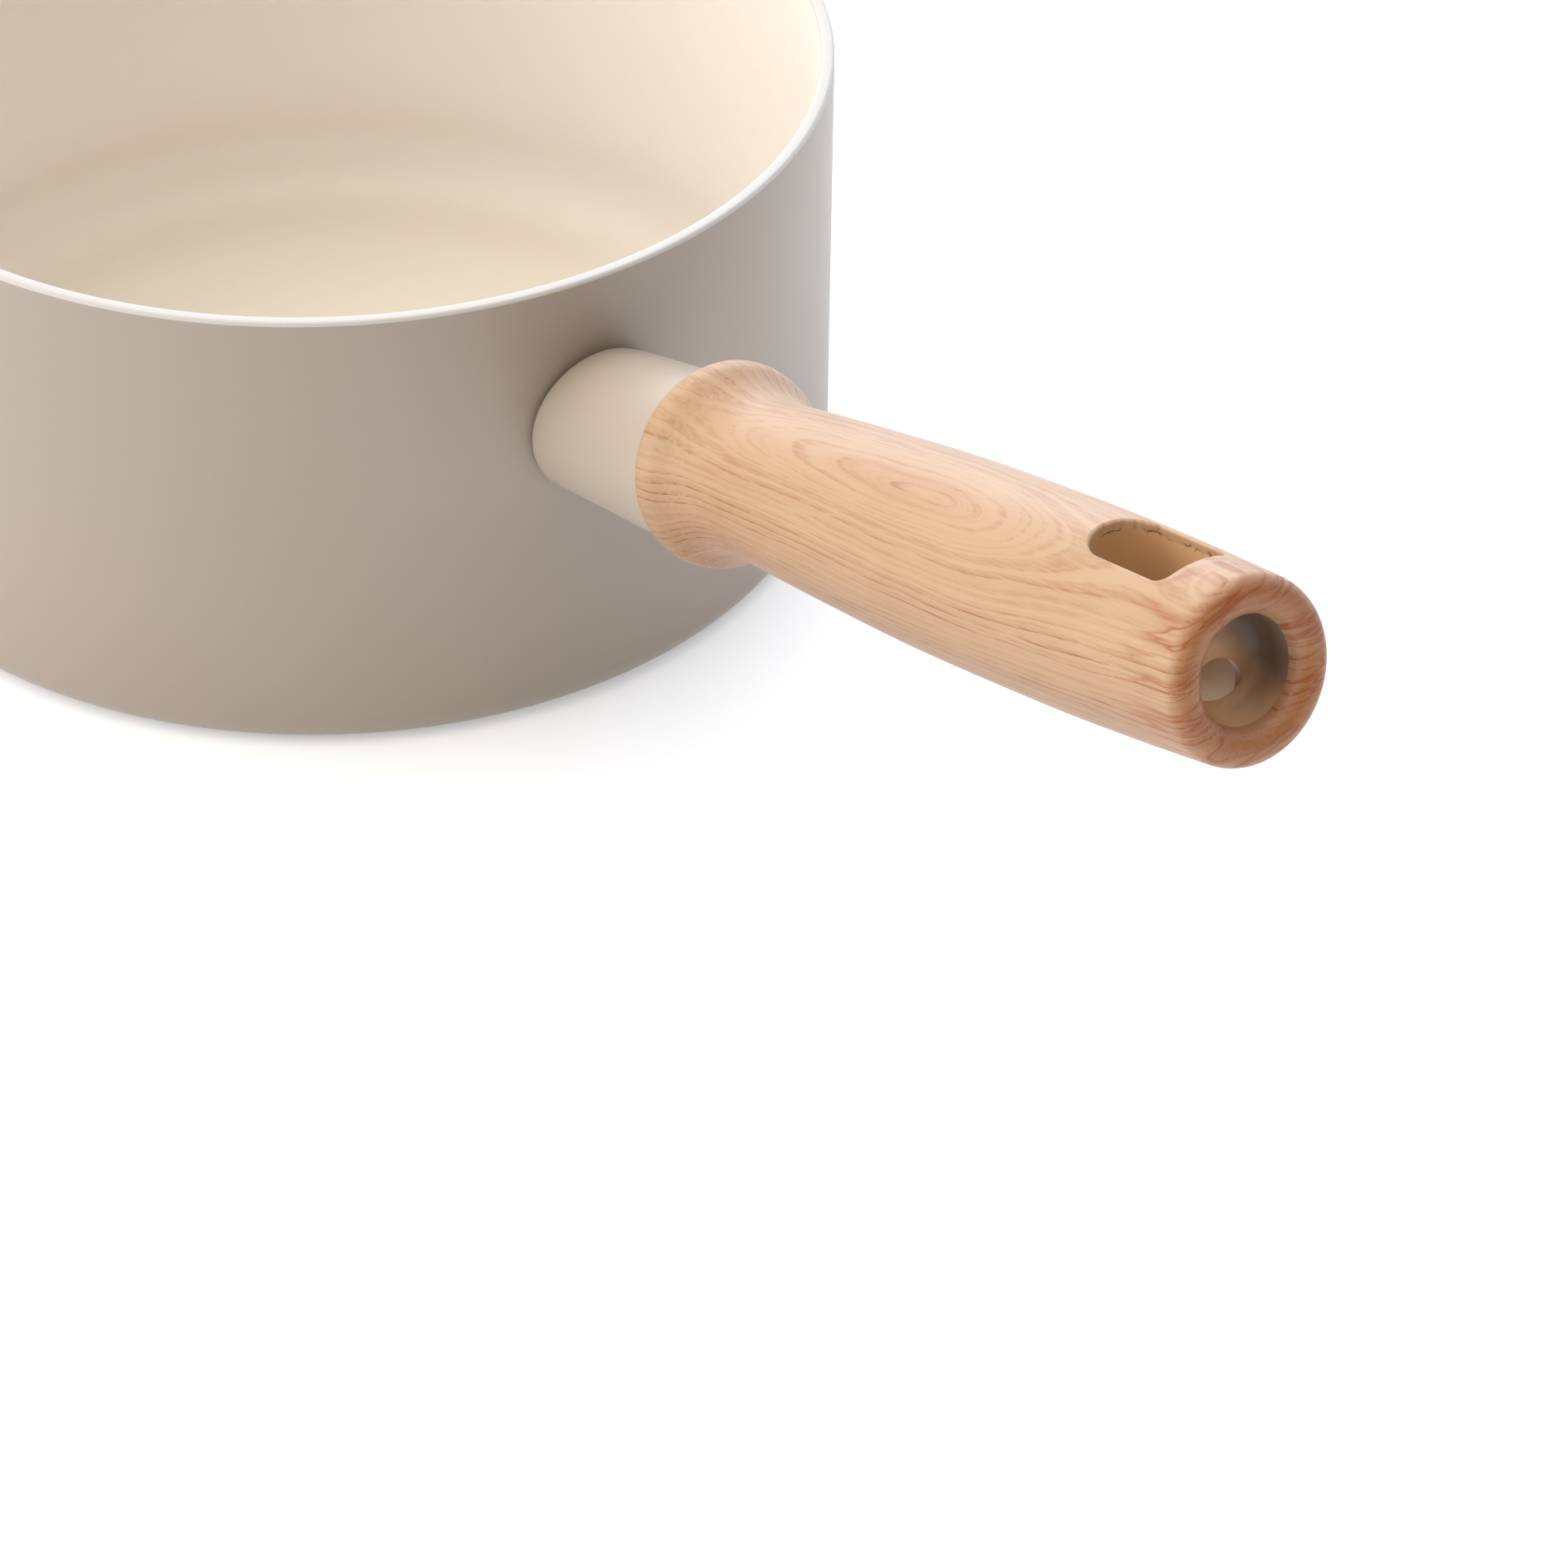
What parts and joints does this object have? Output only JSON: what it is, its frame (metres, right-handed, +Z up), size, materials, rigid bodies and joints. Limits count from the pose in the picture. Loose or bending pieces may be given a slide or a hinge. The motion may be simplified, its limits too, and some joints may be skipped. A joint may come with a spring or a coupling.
{
  "type": "saucepan",
  "caption": "Open saucepan with straight sides, a coated shell, an induction base and a long upswept handle with a hanging slot, screwed to a stud on the wall.",
  "frame": {"origin": "centre of the base, on the surface the pan stands on", "axes": "+Z up towards the rim, +X along the handle, away from the pan"},
  "size_m": [0.33, 0.166, 0.1151],
  "materials": {
    "pan_coating": "matte ceramic coating over aluminium, taupe outside and cream inside",
    "base_steel": "brushed",
    "cream_plastic": "satin",
    "wood_look": "matte wood-grain print on moulded phenolic",
    "bare_aluminium": "satin",
    "fastener_steel": "satin zinc plated"
  },
  "bodies": {
    "root": {"pan_body": "pan_coating", "induction_disc": "base_steel", "ferrule": "cream_plastic", "grip": "wood_look", "weld_stud": "bare_aluminium", "thread_insert": "fastener_steel", "tie_screw": "fastener_steel", "flat_washer": "fastener_steel", "spring_washer": "fastener_steel"}
  },
  "joints": []
}
